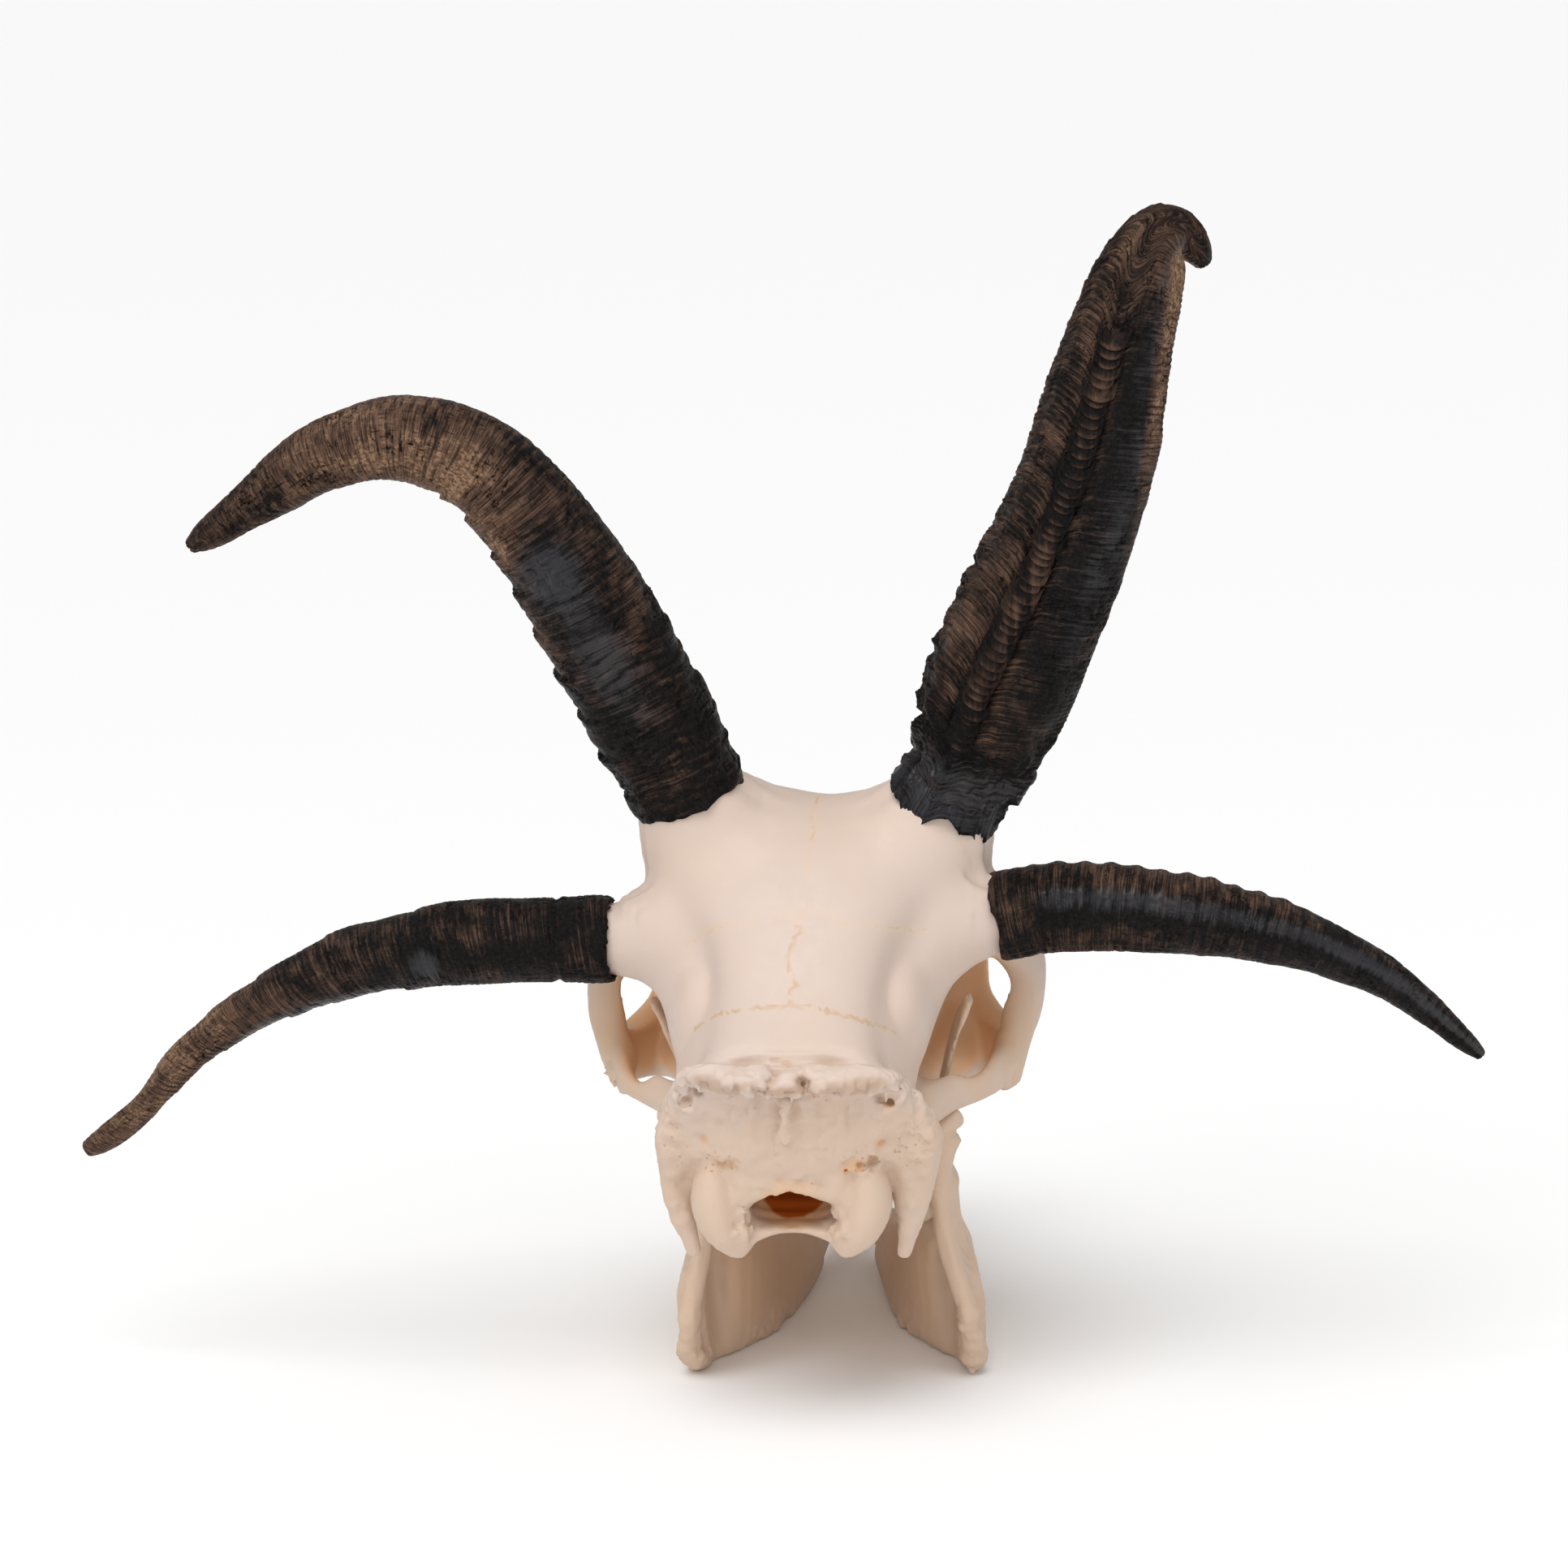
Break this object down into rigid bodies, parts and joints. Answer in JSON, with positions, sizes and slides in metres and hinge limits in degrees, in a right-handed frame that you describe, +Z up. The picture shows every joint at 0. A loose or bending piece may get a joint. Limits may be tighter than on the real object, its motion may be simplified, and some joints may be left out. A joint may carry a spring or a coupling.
{
  "type": "four-horned sheep skull with lower jaw",
  "caption": "Clean ivory sheep skull with two upright and two sideways dark ringed horns, its mouth a little open, resting on the lower jaw.",
  "frame": {"origin": "Middle of the whole model's box in plan, on the floor it rests on.", "axes": "+X to the animal's left, +Y to its back (the nose points to -Y), +Z up."},
  "size_m": [0.3909, 0.2408, 0.3247],
  "materials": {
    "ivory_bone": "dry bleached bone, smooth on the brow, pitted and tan round the openings",
    "dark_horn": "near-black ringed horn with brown patches and a dull sheen"
  },
  "bodies": {
    "root": {"cranium": "ivory_bone", "mandible_left": "ivory_bone", "mandible_right": "ivory_bone", "horn_upper_left": "dark_horn", "horn_upper_right": "dark_horn", "horn_lower_left": "dark_horn", "horn_lower_right": "dark_horn"}
  },
  "joints": []
}
